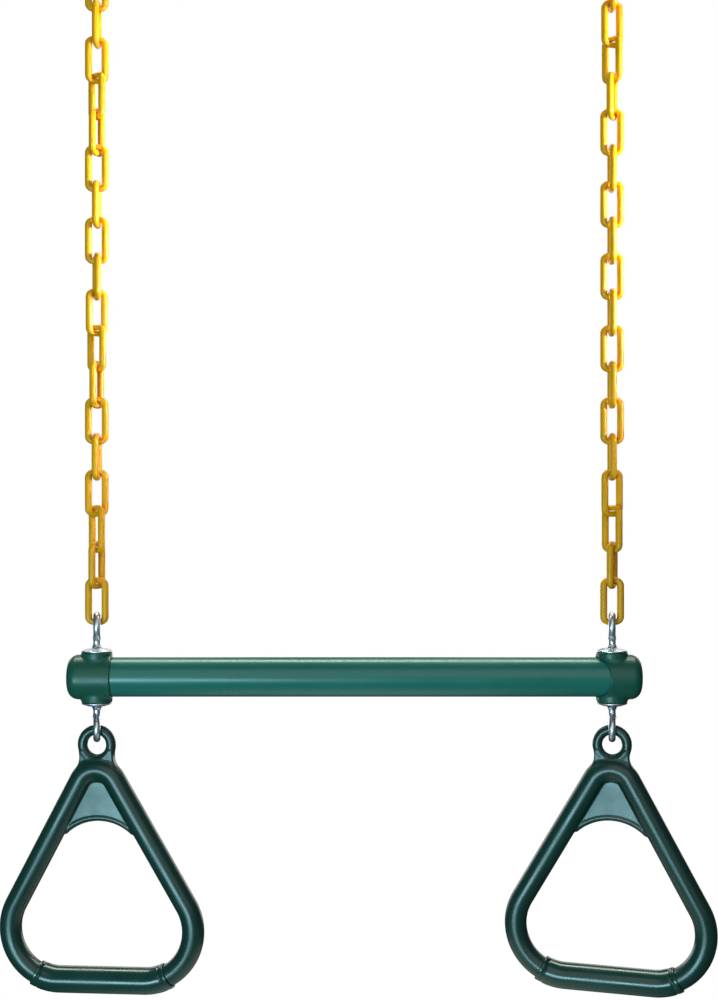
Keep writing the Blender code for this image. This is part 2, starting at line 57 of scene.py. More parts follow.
SIDES = {"left": -1, "right": 1}
EYE_X = 228.6            # from the middle of the bar to each chain

# Chain
LINK_LENGTH = 37.45
LINK_HALF_WIDTH = 7.45
LINK_CORNER = 5.0
LEG_WIRE = 3.2
CROWN_WIRE = 2.5
LINK_VARIANTS = 3
COAT_UNEVEN = 0.05       # how far the coating varies in thickness
# How each link hangs turned about its chain, from the top down, in degrees
LINK_TURNS = {
    "left": (0, 270, 202.5, 135, 67.5, 0, 90, 0, 286, 216, 144, 72, 0, 268, 200, 132, 64, -4),
    "right": (270, 201, 134, 67, 0, 90, 0, 90, 0, 90, 0, 90, 0, 270, 202.5, 135, 67.5, 0),
}

# Snap hooks
HOOK_WIRE = 3.0
HOOK_TOP = (0.0, -9.5)
HOOK_TOP_RADIUS = 12.5
HOOK_BOTTOM = (0.0, -48.5)
HOOK_BOTTOM_RADIUS = 8.5
HOOK_RISE = HOOK_TOP[1] - HOOK_BOTTOM[1]
HOOK_TILT = math.asin((HOOK_BOTTOM_RADIUS - HOOK_TOP_RADIUS) / HOOK_RISE)
HOOK_TURN = {"left": 90, "right": 0}
WIRE_END = 0.9           # from the ends of the gate's run to where the wire is cut
WIRE_CUT_REACH = 5.0     # to either side of the gate's line
TANG_HALF = 1.5          # half the thickness of the flats inside the gate's slots
HINGE_TANG_RADIUS = 2.7
HINGE_TANG_START = -2.0
NOSE_RADIUS = 2.0
NOSE_REACH = 4.2
NOSE_ROOT = 2.0
NOSE_OUT = -0.7

# Gates, measured up from the lower end of their run
GATE_RUN = HOOK_RISE * math.cos(HOOK_TILT)
GATE_PIVOT = 5.2
GATE_HIGH = GATE_RUN - 1.6
GATE_HALF_DEPTH = 2.8
GATE_HALF_WIDTH = 3.4
GATE_SLOT_HALF = 1.8
NOSE_SLOT_RUN = 6.2
NOSE_SLOT_INSIDE = 1.6   # how far inwards the nose's slot reaches
PIN_HOLE = 1.4
PIN_RADIUS = 1.1
SPRING_LOW = 8.8
SPRING_RUN = 7.5
SPRING_WIRE = 0.28
SPRING_BORE = 1.75
SPRING_TURNS = 5
SPRING_PLAY = 0.3        # between the coil and its bore
BORE_LOW = GATE_PIVOT + 2
BORE_HIGH = SPRING_LOW + SPRING_RUN + 0.4

# Bar
BAR_LENGTH = 508.0
TUBE_RADIUS = 17.45
TUBE_INNER = 15.65
CAP_RADIUS = 19.75
CAP_END = 25.4
CAP_SKIRT = -13.6
CAP_EDGE = 9.5
CAP_END_WALL = 6.0
CAP_PLAY = 0.3           # between the tube and the cap's bore, and under the washers
BOSS_RADIUS = 13.7
BOSS_HEIGHT = 22.0
NOTCH_RADIUS = 27.0      # the round cut that sets the skirt back on one side
NOTCH_X = -30.5
EYE_WIRE = 3.15
EYE_LOOP = 9.35
EYE_CENTRE = 45.3
ROD_RADIUS = 3.2
ROD_HOLE = 3.5
ROD_INTO_LOOP = 1.2      # how far the rod runs into the eye's wire
SWAGE_RADIUS = 4.6
SWAGE_LOW = 26.5
SWAGE_HEIGHT = 2.6
SWAGE_TAPER = 2.4
EYE_TURN = {"left": 9, "right": -9}
WASHER_RADIUS = 13.5
WASHER_THICK = 1.6
WASHER_DOME = 2.3

# Rings, about the middle of the lug's hole
RING_TUBE = 9.8
RING_ANGLE = math.radians(29.5)
APEX = (0.0, -40.0)
APEX_RADIUS = 18.0
CORNER_RADIUS = 45.0
CORNER_X = 39.0
CORNER_DROP = math.cos(RING_ANGLE) * CORNER_X + CORNER_RADIUS - APEX_RADIUS
CORNER_Z = APEX[1] - CORNER_DROP / math.sin(RING_ANGLE)
LUG_RADIUS = 13.05
LUG_WIRE = 4.4
NECK_HALF = 15.5
NECK_SPLAY = 0.19
NECK_SPLAY_FROM, NECK_SPLAY_RUN = -12.0, 16.0
NECK_TOP, NECK_LOW = -5.0, -32.0
NECK_HOLE = 0.9          # how much smaller the hole through the neck is than the lug's ring
NECK_THICK = 9.0
WEB_THICK = 5.0
WEB_TOP, WEB_LOW = -28.0, -79.5
WEB_RIM = 3.1
WEB_RIM_IN = 1.3
ARCH = (0.0, -111.0)
ARCH_RADIUS = 45.0
GRIP_INNER = 10.2
GRIP_RADIUS = 11.8
GRIP_BEND = math.radians(30)
GRIP_ENDS = 0.97         # the share of the bend that the grip reaches round
GRIP_PLAIN = 9.0         # from the grip's end to its plain middle
# The collar at a grip's ends: distance from the end, and how much smaller it is than the grip
GRIP_COLLAR = (
    (0, 1.3), (0.15, 0.55), (0.5, 0.25), (1.0, 0.2), (4.4, 0.2),
    (4.7, 0.45), (5.1, 0.6), (5.5, 0.45), (5.9, 0.12), (7.0, 0.05),
)
# How each ring hangs: turned about the upright, and leaning in its own plane, in degrees
RING_YAW = {"left": -9.0, "right": -15.0}
RING_LEAN = {"left": -1.4, "right": 0.8}

# Meshing: the grid cells, and the share of a point's place taken from its neighbours
SMOOTHING = 0.6
CELL = {"hook": 0.36, "gate": 0.26, "cap": 0.62, "eye_rod": 0.42, "ring": 0.85}

# Stage, in metres
BAR_LEVEL = -0.68105
FLOOR_LEVEL = -1.10
FLOOR_RADIUS = 0.38
FILL_STRENGTH = 0.07
CAMERA_LENS = 56.8
CAMERA_PLACE = (0.004, -1.4, BAR_LEVEL + 0.157)


# Meshes

def make_mesh(name, points, faces):
    """A smooth mesh in metres, from points in millimetres."""
    mesh = bpy.data.meshes.new(name)
    mesh.from_pydata((np.asarray(points) * MM).tolist(), [], [list(face) for face in faces])
    mesh.shade_smooth()
    return mesh


def sweep(name, centres, radii, sides=24, closed=False, along=None, across=(0, 1, 0)):
    """A round bar through the centres. Its radius changes from one centre to the next."""
    centres = np.array(centres, float)
    if along is None:
        before = np.roll(centres, 1, 0) if closed else np.vstack([centres[:1], centres[:-1]])
        after = np.roll(centres, -1, 0) if closed else np.vstack([centres[1:], centres[-1:]])
        along = after - before
    along = along / np.linalg.norm(along, axis=1)[:, None]
    first = np.array(across, float) - (along @ np.array(across, float))[:, None] * along
    first /= np.linalg.norm(first, axis=1)[:, None]
    second = np.cross(along, first)
    turn = 2 * np.pi * np.arange(sides) / sides
    circle = first[:, None] * np.cos(turn)[:, None] + second[:, None] * np.sin(turn)[:, None]
    points = centres[:, None] + np.array(radii)[:, None, None] * circle
    count = len(centres)
    row = np.arange(count if closed else count - 1)[:, None] * sides
    step = np.arange(sides)
    ahead = (row + sides) % (count * sides)
    turned = (step + 1) % sides
    quads = np.stack([row + step, row + turned, ahead + turned, ahead + step], -1).reshape(-1, 4)
    faces = quads.tolist()
    if not closed:
        faces.append(list(range(sides))[::-1])
        faces.append(list(range((count - 1) * sides, count * sides)))
    return make_mesh(name, points.reshape(-1, 3), faces)


def lathe(name, profile, sides, axis="Z"):
    """A closed profile of (radius, height) points, turned about an axis."""
    profile = np.array(profile, float)
    turn = 2 * np.pi * np.arange(sides) / sides
    rings = [np.outer(np.cos(turn), profile[:, 0]), np.outer(np.sin(turn), profile[:, 0]),
             np.tile(profile[:, 1], (sides, 1))]
    order = {"Z": (0, 1, 2), "X": (2, 0, 1), "Y": (1, 2, 0)}[axis]
    points = np.stack([rings[k] for k in order], -1).reshape(-1, 3)
    count = len(profile)
    row, step = np.arange(sides)[:, None] * count, np.arange(count)
    ahead, turned = (row + count) % (sides * count), (step + 1) % count
    quads = np.stack([row + step, ahead + step, ahead + turned, row + turned], -1).reshape(-1, 4)
    return make_mesh(name, points, quads.tolist())


def rounded(corners, radius, steps=4):
    """A closed outline of (x, z) corners, each rounded off by up to the radius."""
    corners = [Vector(corner) for corner in corners]
    outline = []
    neighbours = zip(corners[-1:] + corners[:-1], corners, corners[1:] + corners[:1])
    for before, corner, after in neighbours:
        back, ahead = before - corner, after - corner
        reach = min(radius, 0.45 * back.length, 0.45 * ahead.length)
        start, end = corner + back.normalized() * reach, corner + ahead.normalized() * reach
        for step in range(steps + 1):
            t = step / steps
            outline.append(tuple((1 - t) ** 2 * start + 2 * t * (1 - t) * corner + t * t * end))
    return outline


def slope_of(field, points, nudge=0.02):
    """How fast the field grows along each axis."""
    return np.stack([
        (field(points + offset) - field(points - offset)) / (2 * nudge)
        for offset in nudge * np.eye(3)
    ], -1)


def settle(points, field, rounds):
    """Moves points on to the surface where the field is zero."""
    for _ in range(rounds):
        slope = slope_of(field, points)
        size = np.maximum((slope ** 2).sum(1), 0.04)
        points = points - (field(points) / size)[:, None] * slope
    return points


def surface(name, field, low, high, cell):
    """A closed mesh of the surface where a signed distance field is zero.

    A point goes in each grid cell that the surface passes through, and then moves on to it.
    """
    low, high = np.array(low, float), np.array(high, float)
    count = np.ceil((high - low) / cell).astype(int) + 1
    axes = [low[k] + cell * np.arange(count[k]) for k in range(3)]
    grid = np.stack(np.meshgrid(*axes, indexing="ij"), -1).reshape(-1, 3)
    solid = (field(grid) < 0).reshape(count)
    corners = sum(
        solid[a:count[0] - 1 + a, b:count[1] - 1 + b, c:count[2] - 1 + c].astype(np.int8)
        for a, b, c in itertools.product((0, 1), repeat=3)
    )
    mixed = (corners > 0) & (corners < 8)
    number = np.full(mixed.shape, -1)
    number[mixed] = np.arange(mixed.sum())
    points = low + (np.argwhere(mixed) + 0.5) * cell
    quads = []
    for k in range(3):
        u, v = (k + 1) % 3, (k + 2) % 3
        step = np.eye(3, dtype=int)
        here = solid[tuple(slice(0, -1) if j == k else slice(None) for j in range(3))]
        ahead = solid[tuple(slice(1, None) if j == k else slice(None) for j in range(3))]
        edges = np.argwhere(here != ahead)
        leaving = here[tuple(edges.T)]
        around = [edges, edges - step[u], edges - step[u] - step[v], edges - step[v]]
        square = np.stack([number[tuple(cell_index.T)] for cell_index in around], 1)
        quads.append(np.where(leaving[:, None], square, square[:, ::-1]))
    quads = np.concatenate(quads)
    points = settle(points, field, 3)
    pairs = np.concatenate([quads[:, [k, (k + 1) % 4]] for k in range(4)])
    for _ in range(2):
        total = np.zeros_like(points)
        np.add.at(total, pairs[:, 0], points[pairs[:, 1]])
        shares = np.bincount(pairs[:, 0], minlength=len(points))[:, None]
        points = (1 - SMOOTHING) * points + SMOOTHING * total / shares
        points = settle(points, field, 2)
    mesh = make_mesh(name, points, quads.tolist())
    normals = slope_of(field, points, 0.25 * cell)
    normals /= np.linalg.norm(normals, axis=1)[:, None]
    mesh.normals_split_custom_set_from_vertices(normals.tolist())
    return mesh


# Signed distance fields

def join(a, b, soft):
    """Both solids, with a fillet of about the given size where they meet."""
    share = np.clip(0.5 + 0.5 * (b - a) / soft, 0, 1)
    return b + (a - b) * share - soft * share * (1 - share)


def both(a, b, radius):
    """What two solids share, its edge rounded by the radius."""
    u, v = a + radius, b + radius
    return np.minimum(np.maximum(u, v), 0) + np.hypot(np.maximum(u, 0), np.maximum(v, 0)) - radius


def cut(a, b, radius):
    """The first solid without the second, the edge rounded by the radius."""
    return both(a, -b, radius)


def arc_gap(x, z, centre, radius, start, end):
    """Distance to an arc, from the start angle to the end angle."""
    middle, half = (start + end) / 2, (end - start) / 2
    across, up = x - centre[0], z - centre[1]
    angle = np.arctan2(up, across) - middle
    angle = np.clip((angle + np.pi) % (2 * np.pi) - np.pi, -half, half) + middle
    return np.hypot(across - radius * np.cos(angle), up - radius * np.sin(angle))


def line_gap(x, z, start, end):
    """Distance to a straight line between two points."""
    run = (end[0] - start[0], end[1] - start[1])
    share = ((x - start[0]) * run[0] + (z - start[1]) * run[1]) / (run[0] ** 2 + run[1] ** 2)
    share = np.clip(share, 0, 1)
    return np.hypot(x - start[0] - share * run[0], z - start[1] - share * run[1])


def on_circle(centre, radius, angle):
    """The point of a circle at an angle."""
    return (centre[0] + radius * math.cos(angle), centre[1] + radius * math.sin(angle))


# Chain

def link_mesh(name, seed):
    """A link, with the coating a little fuller down its sides and thin where links bear."""
    top = LINK_LENGTH / 2 - LINK_CORNER
    inner = LINK_HALF_WIDTH - LINK_CORNER
    quarter = 8
    centres = []
    for across, up, start in ((1, 1, 0.0), (-1, 1, 0.5), (-1, -1, 1.0), (1, -1, 1.5)):
        for step in range(quarter + 1):
            angle = math.pi * (start + step / (2 * quarter))
            x, z = on_circle((across * inner, up * top), LINK_CORNER, angle)
            centres.append((x, 0.0, z))
            if step == quarter and start in (0.5, 1.5):
                centres += [(x, 0.0, z * (1 - share)) for share in (0.5, 1.0, 1.5)]
    centres = np.array(centres)
    rise = np.clip((np.abs(centres[:, 2]) - top) / LINK_CORNER, 0, 1)
    radii = LEG_WIRE + (CROWN_WIRE - LEG_WIRE) * rise ** 2
    uneven = np.random.default_rng(seed).uniform(-COAT_UNEVEN, 0.0, len(radii))
    radii += np.convolve(np.tile(uneven, 3), np.ones(7) / 7, "same")[len(radii):2 * len(radii)]
    return sweep(name, centres, radii, closed=True)


# Snap hooks

def gate_axes(p):
    """Up the gate from its lower tangent point, inwards from its centreline, and across."""
    sine, cosine = math.sin(HOOK_TILT), math.cos(HOOK_TILT)
    x = p[:, 0] - (HOOK_BOTTOM[0] - HOOK_BOTTOM_RADIUS * cosine)
    z = p[:, 2] - (HOOK_BOTTOM[1] + HOOK_BOTTOM_RADIUS * sine)
    return x * sine + z * cosine, x * cosine - z * sine, p[:, 1]


def gate_point(up, inward, across):
    """The point at a place along the gate's axes."""
    sine, cosine = math.sin(HOOK_TILT), math.cos(HOOK_TILT)
    out = HOOK_BOTTOM_RADIUS - inward
    x = HOOK_BOTTOM[0] - out * cosine + up * sine
    z = HOOK_BOTTOM[1] + out * sine + up * cosine
    return (x, across, z)


def hook_field(p):
    """The bent wire, cut open at the gate, with a flat at each cut end and the pin's hole."""
    x, y, z = p.T
    tilt = HOOK_TILT
    back = (on_circle(HOOK_BOTTOM, HOOK_BOTTOM_RADIUS, tilt),
            on_circle(HOOK_TOP, HOOK_TOP_RADIUS, tilt))
    gap = arc_gap(x, z, HOOK_BOTTOM, HOOK_BOTTOM_RADIUS, math.pi - tilt, 2 * math.pi + tilt)
    gap = np.minimum(gap, arc_gap(x, z, HOOK_TOP, HOOK_TOP_RADIUS, tilt, math.pi - tilt))
    gap = np.minimum(gap, line_gap(x, z, *back))
    wire = np.hypot(gap, y) - HOOK_WIRE
    up, inward, across = gate_axes(p)
    open_side = np.minimum(up - WIRE_END, GATE_RUN - WIRE_END - up)
    beside = np.abs(inward) - WIRE_CUT_REACH
    wire = cut(wire, both(-open_side, beside, 0.1), 0.6)
    flat = np.abs(across) - TANG_HALF
    hinge_end = line_gap(up, inward, (HINGE_TANG_START, 0), (GATE_PIVOT, 0)) - HINGE_TANG_RADIUS
    nose_line = (GATE_RUN - NOSE_REACH, NOSE_OUT), (GATE_RUN + NOSE_ROOT, NOSE_OUT)
    nose = line_gap(up, inward, *nose_line) - NOSE_RADIUS
    body = join(join(wire, both(hinge_end, flat, 0.4), 0.8), both(nose, flat, 0.4), 0.8)
    hole = np.hypot(up - GATE_PIVOT, inward) - PIN_HOLE
    return cut(body, hole, 0.2)


def gate_field(p):
    """The gate, slotted at both ends, with its pin's hole and the spring's bore."""
    up, inward, across = gate_axes(p)
    side = line_gap(up, inward, (GATE_PIVOT, 0), (GATE_RUN + 5, 0)) - GATE_HALF_DEPTH
    body = both(both(side, up - GATE_HIGH, 0.8), np.abs(across) - GATE_HALF_WIDTH, 0.9)
    slot = np.abs(across) - GATE_SLOT_HALF
    hinge_slot = np.maximum(slot, up - SPRING_LOW)
    nose_slot = np.maximum(slot, GATE_HIGH - NOSE_SLOT_RUN - up)
    nose_slot = np.maximum(nose_slot, inward - NOSE_SLOT_INSIDE)
    hole = np.hypot(up - GATE_PIVOT, inward) - PIN_HOLE
    bore = np.maximum(np.hypot(inward, across) - SPRING_BORE, up - BORE_HIGH)
    bore = np.maximum(bore, BORE_LOW - up)
    for hollow in (hinge_slot, nose_slot, hole, bore):
        body = cut(body, hollow, 0.25)
    return body


def spring_mesh():
    """The coil spring in the gate's bore."""
    steps = 32 * SPRING_TURNS
    coil = SPRING_BORE - SPRING_WIRE - SPRING_PLAY
    centres = []
    for step in range(steps + 1):
        angle = 2 * math.pi * SPRING_TURNS * step / steps
        up = SPRING_LOW + SPRING_WIRE + (SPRING_RUN - 2 * SPRING_WIRE) * step / steps
        centres.append(gate_point(up, coil * math.cos(angle), coil * math.sin(angle)))
    across = (math.sin(HOOK_TILT), 0, math.cos(HOOK_TILT))
    return sweep("spring", centres, [SPRING_WIRE] * len(centres), 10, across=across)


# Bar

def tube_mesh():
    """The tube, with extra points near its ends that keep its long sides shaded evenly."""
    half = BAR_LENGTH / 2 - CAP_END_WALL - CAP_PLAY
    near = half - 4
    wall = [(TUBE_RADIUS, half), (TUBE_INNER, half), (TUBE_INNER, near), (TUBE_INNER, -near),
            (TUBE_INNER, -half), (TUBE_RADIUS, -half), (TUBE_RADIUS, -near), (TUBE_RADIUS, near)]
    return lathe("tube", rounded(wall, 0.5), 128, "X")


def cap_field(p):
    """The right-hand cap about its eye rod, its closed end towards +X."""
    x, y, z = p.T
    radius, about = np.hypot(y, z), np.hypot(x, y)
    shell = both(radius - CAP_RADIUS, x - CAP_END, CAP_EDGE)
    shell = both(shell, CAP_SKIRT - x, 0.7)
    boss = both(about - BOSS_RADIUS, np.abs(z) - BOSS_HEIGHT, 0.8)
    body = join(shell, boss, 2.0)
    notch = both(np.hypot(x - NOTCH_X, z) - NOTCH_RADIUS, y, 0.4)
    notch = cut(notch, about - BOSS_RADIUS, 0.3)
    body = cut(body, notch, 0.5)
    bore = both(radius - TUBE_RADIUS - CAP_PLAY, x - CAP_END + CAP_END_WALL, 1.0)
    return cut(cut(body, bore, 0.3), about - ROD_HOLE, 0.3)


def washer_mesh():
    """A domed washer that rests on its rim."""
    hole, middle, top = ROD_HOLE, (WASHER_RADIUS + ROD_HOLE) / 2, WASHER_DOME + WASHER_THICK
    outline = [
        (hole, top), (hole, WASHER_DOME), (middle, 0.65 * WASHER_DOME),
        (WASHER_RADIUS - WASHER_THICK, 0), (WASHER_RADIUS, 0),
        (WASHER_RADIUS, 0.8 * WASHER_THICK), (middle, top - 0.35 * WASHER_DOME),
    ]
    return lathe("washer", rounded(outline, 0.7), 72)


def eye_rod_field(p):
    """The rod through the bar, with a swaged collar and an eye at each end."""
    x, y, z = p.T
    about, up = np.hypot(x, y), np.abs(z)
    rod = both(about - ROD_RADIUS, up - (EYE_CENTRE - EYE_LOOP + ROD_INTO_LOOP), 0.5)
    taper = np.clip((up - SWAGE_LOW) / SWAGE_TAPER, 0, 1)
    cone = SWAGE_RADIUS - taper * (SWAGE_RADIUS - ROD_RADIUS)
    swage = both(about - cone, SWAGE_LOW - up, 0.4)
    swage = both(swage, up - SWAGE_LOW - SWAGE_HEIGHT, 0.2)
    loop = np.hypot(np.hypot(y, up - EYE_CENTRE) - EYE_LOOP, x) - EYE_WIRE
    return join(join(rod, swage, 0.5), loop, 2.2)


# Rings

def ring_gap(x, z):
    """Distance in the ring's own plane to the centreline of its tube."""
    x = np.abs(x)
    corner = (CORNER_X, CORNER_Z)
    gap = arc_gap(x, z, APEX, APEX_RADIUS, RING_ANGLE, math.pi - RING_ANGLE)
    gap = np.minimum(gap, arc_gap(x, z, corner, CORNER_RADIUS, -math.pi / 2, RING_ANGLE))
    leg = (on_circle(APEX, APEX_RADIUS, RING_ANGLE), on_circle(corner, CORNER_RADIUS, RING_ANGLE))
    gap = np.minimum(gap, line_gap(x, z, *leg))
    bottom = CORNER_Z - CORNER_RADIUS
    return np.minimum(gap, line_gap(x, z, (-1.0, bottom), (CORNER_X, bottom)))


def ring_field(p):
    """The ring's moulding: bent tube, lug, neck, and the web with its rim."""
    x, y, z = p.T
    tube = np.hypot(ring_gap(x, z), y) - RING_TUBE
    hoop = np.hypot(np.hypot(x, z) - LUG_RADIUS, y) - LUG_WIRE
    half = NECK_HALF + np.clip(NECK_SPLAY_FROM - z, 0, NECK_SPLAY_RUN) * NECK_SPLAY
    neck = both(np.abs(x) - half, np.abs(y) - NECK_THICK / 2, 1.5)
    neck = both(both(neck, z - NECK_TOP, 0.8), NECK_LOW - z, 0.5)
    neck = cut(neck, np.hypot(x, z) - LUG_RADIUS + NECK_HOLE, 0.8)
    leg = on_circle(APEX, APEX_RADIUS, RING_ANGLE)
    inside_legs = (np.abs(x) - leg[0]) * math.cos(RING_ANGLE)
    inside_legs = inside_legs + (z - leg[1]) * math.sin(RING_ANGLE)
    from_arch = np.hypot(x - ARCH[0], z - ARCH[1])
    web = both(both(inside_legs, ARCH_RADIUS - from_arch, 0.3), np.abs(y) - WEB_THICK / 2, 0.6)
    web = np.maximum(np.maximum(web, z - WEB_TOP), WEB_LOW - z)
    rim = np.hypot(from_arch - ARCH_RADIUS - WEB_RIM_IN, y) - WEB_RIM
    rim = np.maximum(np.maximum(rim, inside_legs), WEB_LOW - z)
    body = join(tube, neck, 3.0)
    body = join(body, hoop, 1.8)
    return join(body, join(web, rim, 0.7), 1.1)


def grip_mesh():
    """The sleeve on the bottom bar: a stepped collar at each end, and a wall round the tube."""
    corner = np.array((CORNER_X, 0, CORNER_Z))
    start = -math.pi / 2 + GRIP_BEND * GRIP_ENDS
    bend_points, flat_points, between = 15, 22, 46
    turns = np.linspace(start, -math.pi / 2, bend_points)
    half = [corner + CORNER_RADIUS * np.array((math.cos(a), 0, math.sin(a))) for a in turns]
    places = np.linspace(CORNER_X, -CORNER_X, flat_points)[1:-1]
    flat = [np.array((x, 0, half[-1][2])) for x in places]
    path = np.array(half + flat + [point * (-1, 1, 1) for point in half[::-1]])
    length = np.concatenate([[0], np.cumsum(np.linalg.norm(np.diff(path, axis=0), axis=1))])
    total = length[-1]
    near = [distance for distance, _ in GRIP_COLLAR]
    collar = [GRIP_RADIUS - less for _, less in GRIP_COLLAR]
    plain = list(np.linspace(GRIP_PLAIN, total - GRIP_PLAIN, between))
    stations = near + plain + [total - distance for distance in near[::-1]]
    radii = collar + [GRIP_RADIUS] * between + collar[::-1]
    outer = np.stack([np.interp(stations, length, path[:, k]) for k in range(3)], -1)
    along = np.gradient(outer, axis=0)
    inner = slice(None, None, -3)
    centres = np.vstack([outer, outer[inner]])
    radii += [GRIP_INNER] * len(outer[inner])
    return sweep("grip", centres, radii, 40, closed=True, along=np.vstack([along, along[inner]]))


# Materials

def shade(colour, factor):
    """A colour made lighter or darker, with its alpha."""
    return (*(min(1.0, c * factor) for c in colour), 1.0)


def finish(name, colour, roughness, cloud, grain, bump, depth, metallic=0.0, specular=0.5,
           drift=0.08, uneven=0.15, offset=0.0):
    """A Principled material whose colour and gloss drift, over a fine uneven surface.

    cloud and grain are how fine the drift and the unevenness are, per metre. drift and uneven
    are how much colour and roughness vary, and offset moves the pattern along.
    """
    made = bpy.data.materials.new(name)
    made.use_nodes = True
    nodes, wires = made.node_tree.nodes, made.node_tree.links
    shader = nodes["Principled BSDF"]
    shader.inputs["Metallic"].default_value = metallic
    shader.inputs["Specular IOR Level"].default_value = specular
    where = nodes.new("ShaderNodeTexCoord")
    shift = nodes.new("ShaderNodeMapping")
    shift.inputs["Location"].default_value = (offset, 2 * offset, 3 * offset)
    wires.new(where.outputs["Object"], shift.inputs["Vector"])
    clouds = nodes.new("ShaderNodeTexNoise")
    clouds.inputs["Scale"].default_value = cloud
    clouds.inputs["Detail"].default_value = 4.0
    wires.new(shift.outputs["Vector"], clouds.inputs["Vector"])
    tone = nodes.new("ShaderNodeMix")
    tone.data_type = "RGBA"
    tone.inputs[6].default_value = shade(colour, 1 - drift)
    tone.inputs[7].default_value = shade(colour, 1 + drift)
    wires.new(clouds.outputs["Fac"], tone.inputs[0])
    wires.new(tone.outputs[2], shader.inputs["Base Color"])
    gloss = nodes.new("ShaderNodeMapRange")
    gloss.inputs["From Min"].default_value = 0.3
    gloss.inputs["From Max"].default_value = 0.7
    gloss.inputs["To Min"].default_value = roughness * (1 - uneven)
    gloss.inputs["To Max"].default_value = roughness * (1 + uneven)
    wires.new(clouds.outputs["Fac"], gloss.inputs["Value"])
    wires.new(gloss.outputs["Result"], shader.inputs["Roughness"])
    fine = nodes.new("ShaderNodeTexNoise")
    fine.inputs["Scale"].default_value = grain
    fine.inputs["Detail"].default_value = 2.0
    wires.new(shift.outputs["Vector"], fine.inputs["Vector"])
    relief = nodes.new("ShaderNodeBump")
    relief.inputs["Strength"].default_value = bump
    relief.inputs["Distance"].default_value = depth * MM
    wires.new(fine.outputs["Fac"], relief.inputs["Height"])
    wires.new(relief.outputs["Normal"], shader.inputs["Normal"])
    return made


CHAIN_COATS = [
    finish(f"chain_coat_{k}", (0.86, 0.370, 0.002), 0.30, cloud=70.0, grain=260.0, bump=0.25,
           depth=0.25, specular=0.3, drift=0.12, offset=0.31 * k)
    for k in range(LINK_VARIANTS)
]
TUBE_PAINT = finish("tube_paint", (0.013, 0.160, 0.128), 0.30, cloud=14.0, grain=420.0,
                    bump=0.10, depth=0.10, drift=0.06)
CAP_PLASTIC = finish("cap_plastic", (0.009, 0.094, 0.064), 0.40, cloud=60.0, grain=700.0,
                     bump=0.08, depth=0.05, specular=0.45)
RING_PLASTIC = finish("ring_plastic", (0.005, 0.040, 0.032), 0.33, cloud=35.0, grain=300.0,
                      bump=0.05, depth=0.05, specular=0.55, drift=0.10)
GRIP_PLASTIC = finish("grip_plastic", (0.006, 0.046, 0.038), 0.24, cloud=40.0, grain=600.0,
                      bump=0.06, depth=0.04, specular=0.55)
EYE_ZINC = finish("eye_zinc", (0.70, 0.73, 0.80), 0.40, cloud=90.0, grain=500.0, bump=0.03,
                  depth=0.01, metallic=1.0, uneven=0.2)
HOOK_ZINC = finish("hook_zinc", (0.70, 0.72, 0.78), 0.38, cloud=100.0, grain=500.0, bump=0.03,
                   depth=0.01, metallic=1.0, uneven=0.2, offset=0.7)
SPRING_STEEL = finish("spring_steel", (0.55, 0.56, 0.58), 0.30, cloud=400.0, grain=3000.0,
                      bump=0.05, depth=0.01, metallic=1.0)


# Assembly

def piece(name, mesh, material, body, node, place, turn=(0, 0, 0)):
    """Adds the object that stands for one node, rides on its body and takes a slot's finish."""
    obj = bpy.data.objects.new(name, mesh)
    bpy.context.scene.collection.objects.link(obj)
    if not mesh.materials:
        mesh.materials.append(material)
    obj.material_slots[0].link = "OBJECT"
    obj.material_slots[0].material = material
    obj.location = Vector(place) * MM
    obj.rotation_euler = [math.radians(angle) for angle in turn]
    obj.shadow_terminator_shading_offset = 0.2    # keeps grazing light from showing the facets
    obj.shadow_terminator_geometry_offset = 0.3
    bpy.context.view_layer.update()
    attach(obj, body)
    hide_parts(node)


def middle(node):
    """The middle of a node's box, in millimetres."""
    low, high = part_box(node)
    return (low + high) / 2 / MM


def build_chains():
    meshes = [link_mesh(f"coated_link_{k}", 11 + k) for k in range(LINK_VARIANTS)]
    for side, sign in SIDES.items():
        for k, turn in enumerate(LINK_TURNS[side]):
            node = f"link_{side}_{k + 1:02d}"
            kind = (k + (side == "right")) % LINK_VARIANTS
            piece(f"coated_{node}", meshes[kind], CHAIN_COATS[kind], node, node,
                  (sign * EYE_X, 0, middle(node).z), (0, 0, turn))


def build_hooks():
    body = surface("hook", hook_field, (-18, -5, -62), (18, 5, 8), CELL["hook"])
    gate = surface("gate", gate_field, (-17, -5, -58), (-3, 5, -2), CELL["gate"])
    low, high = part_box("gate_pin_right")
    half = (high.y - low.y) / 2 / MM
    pin_outline = [(0.02, half), (0.02, -half), (PIN_RADIUS, -half), (PIN_RADIUS, half)]
    pin = lathe("pin", rounded(pin_outline, 0.5), 32, "Y")
    spring = spring_mesh()
    for side, sign in SIDES.items():
        at, turn = (sign * EYE_X, 0, 0), (0, 0, HOOK_TURN[side])
        piece(f"snap_hook_{side}", body, HOOK_ZINC, "hanger", f"hook_{side}",
              at, turn)
        piece(f"snap_gate_{side}", gate, HOOK_ZINC, f"gate_{side}", f"gate_{side}",
              at, turn)
        piece(f"snap_spring_{side}", spring, SPRING_STEEL, f"gate_{side}", f"gate_spring_{side}",
              at, turn)
        centre = middle(f"gate_pin_{side}")
        piece(f"snap_pin_{side}", pin, HOOK_ZINC, "hanger", f"gate_pin_{side}",
              tuple(centre), turn)


